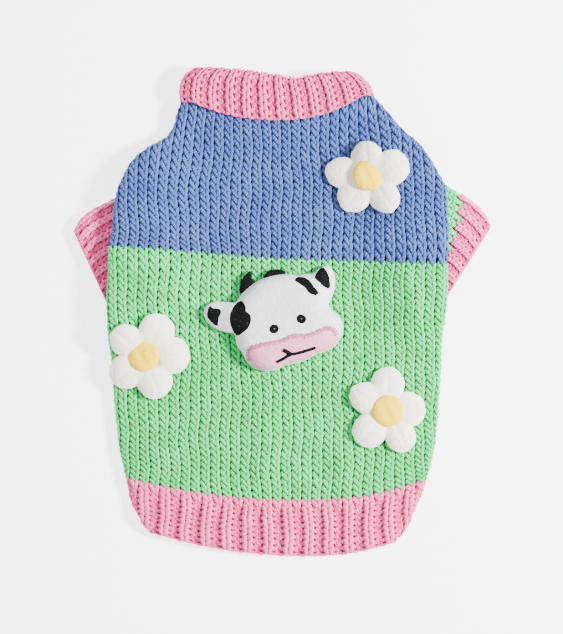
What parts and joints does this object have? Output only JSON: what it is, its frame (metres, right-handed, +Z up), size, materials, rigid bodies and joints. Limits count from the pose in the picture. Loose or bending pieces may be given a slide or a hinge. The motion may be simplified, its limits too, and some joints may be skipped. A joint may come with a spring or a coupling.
{
  "type": "dog sweater",
  "caption": "Knitted dog sweater with folded turtleneck, short ribbed sleeves, colour bands and sewn-on motifs, lying flat on its belly.",
  "frame": {"origin": "middle of the garment's outline on the surface that it lies on", "axes": "+Y from the hem towards the collar, +Z up from the surface, through the belly to the back"},
  "size_m": [0.2182, 0.2531, 0.0196],
  "materials": {
    "pink_yarn": "matte knitted yarn",
    "blue_yarn": "matte knitted yarn",
    "green_yarn": "matte knitted yarn",
    "white_plush": "soft matte plush",
    "yellow_plush": "soft matte plush",
    "pink_felt": "matte felt",
    "black_felt": "matte felt"
  },
  "bodies": {
    "root": {"collar": "pink_yarn", "back_yoke": "blue_yarn", "back_lower": "green_yarn", "back_hem": "pink_yarn", "belly": "green_yarn", "belly_hem": "pink_yarn", "sleeve_left": "green_yarn", "cuff_left": "pink_yarn", "sleeve_right": "green_yarn", "cuff_right": "pink_yarn", "daisy_1_petals": "white_plush", "daisy_1_centre": "yellow_plush", "daisy_2_petals": "white_plush", "daisy_2_centre": "yellow_plush", "daisy_3_petals": "white_plush", "daisy_3_centre": "yellow_plush", "cow_head": "white_plush", "cow_muzzle": "pink_felt", "cow_horn_left": "black_felt", "cow_horn_right": "black_felt"}
  },
  "joints": []
}
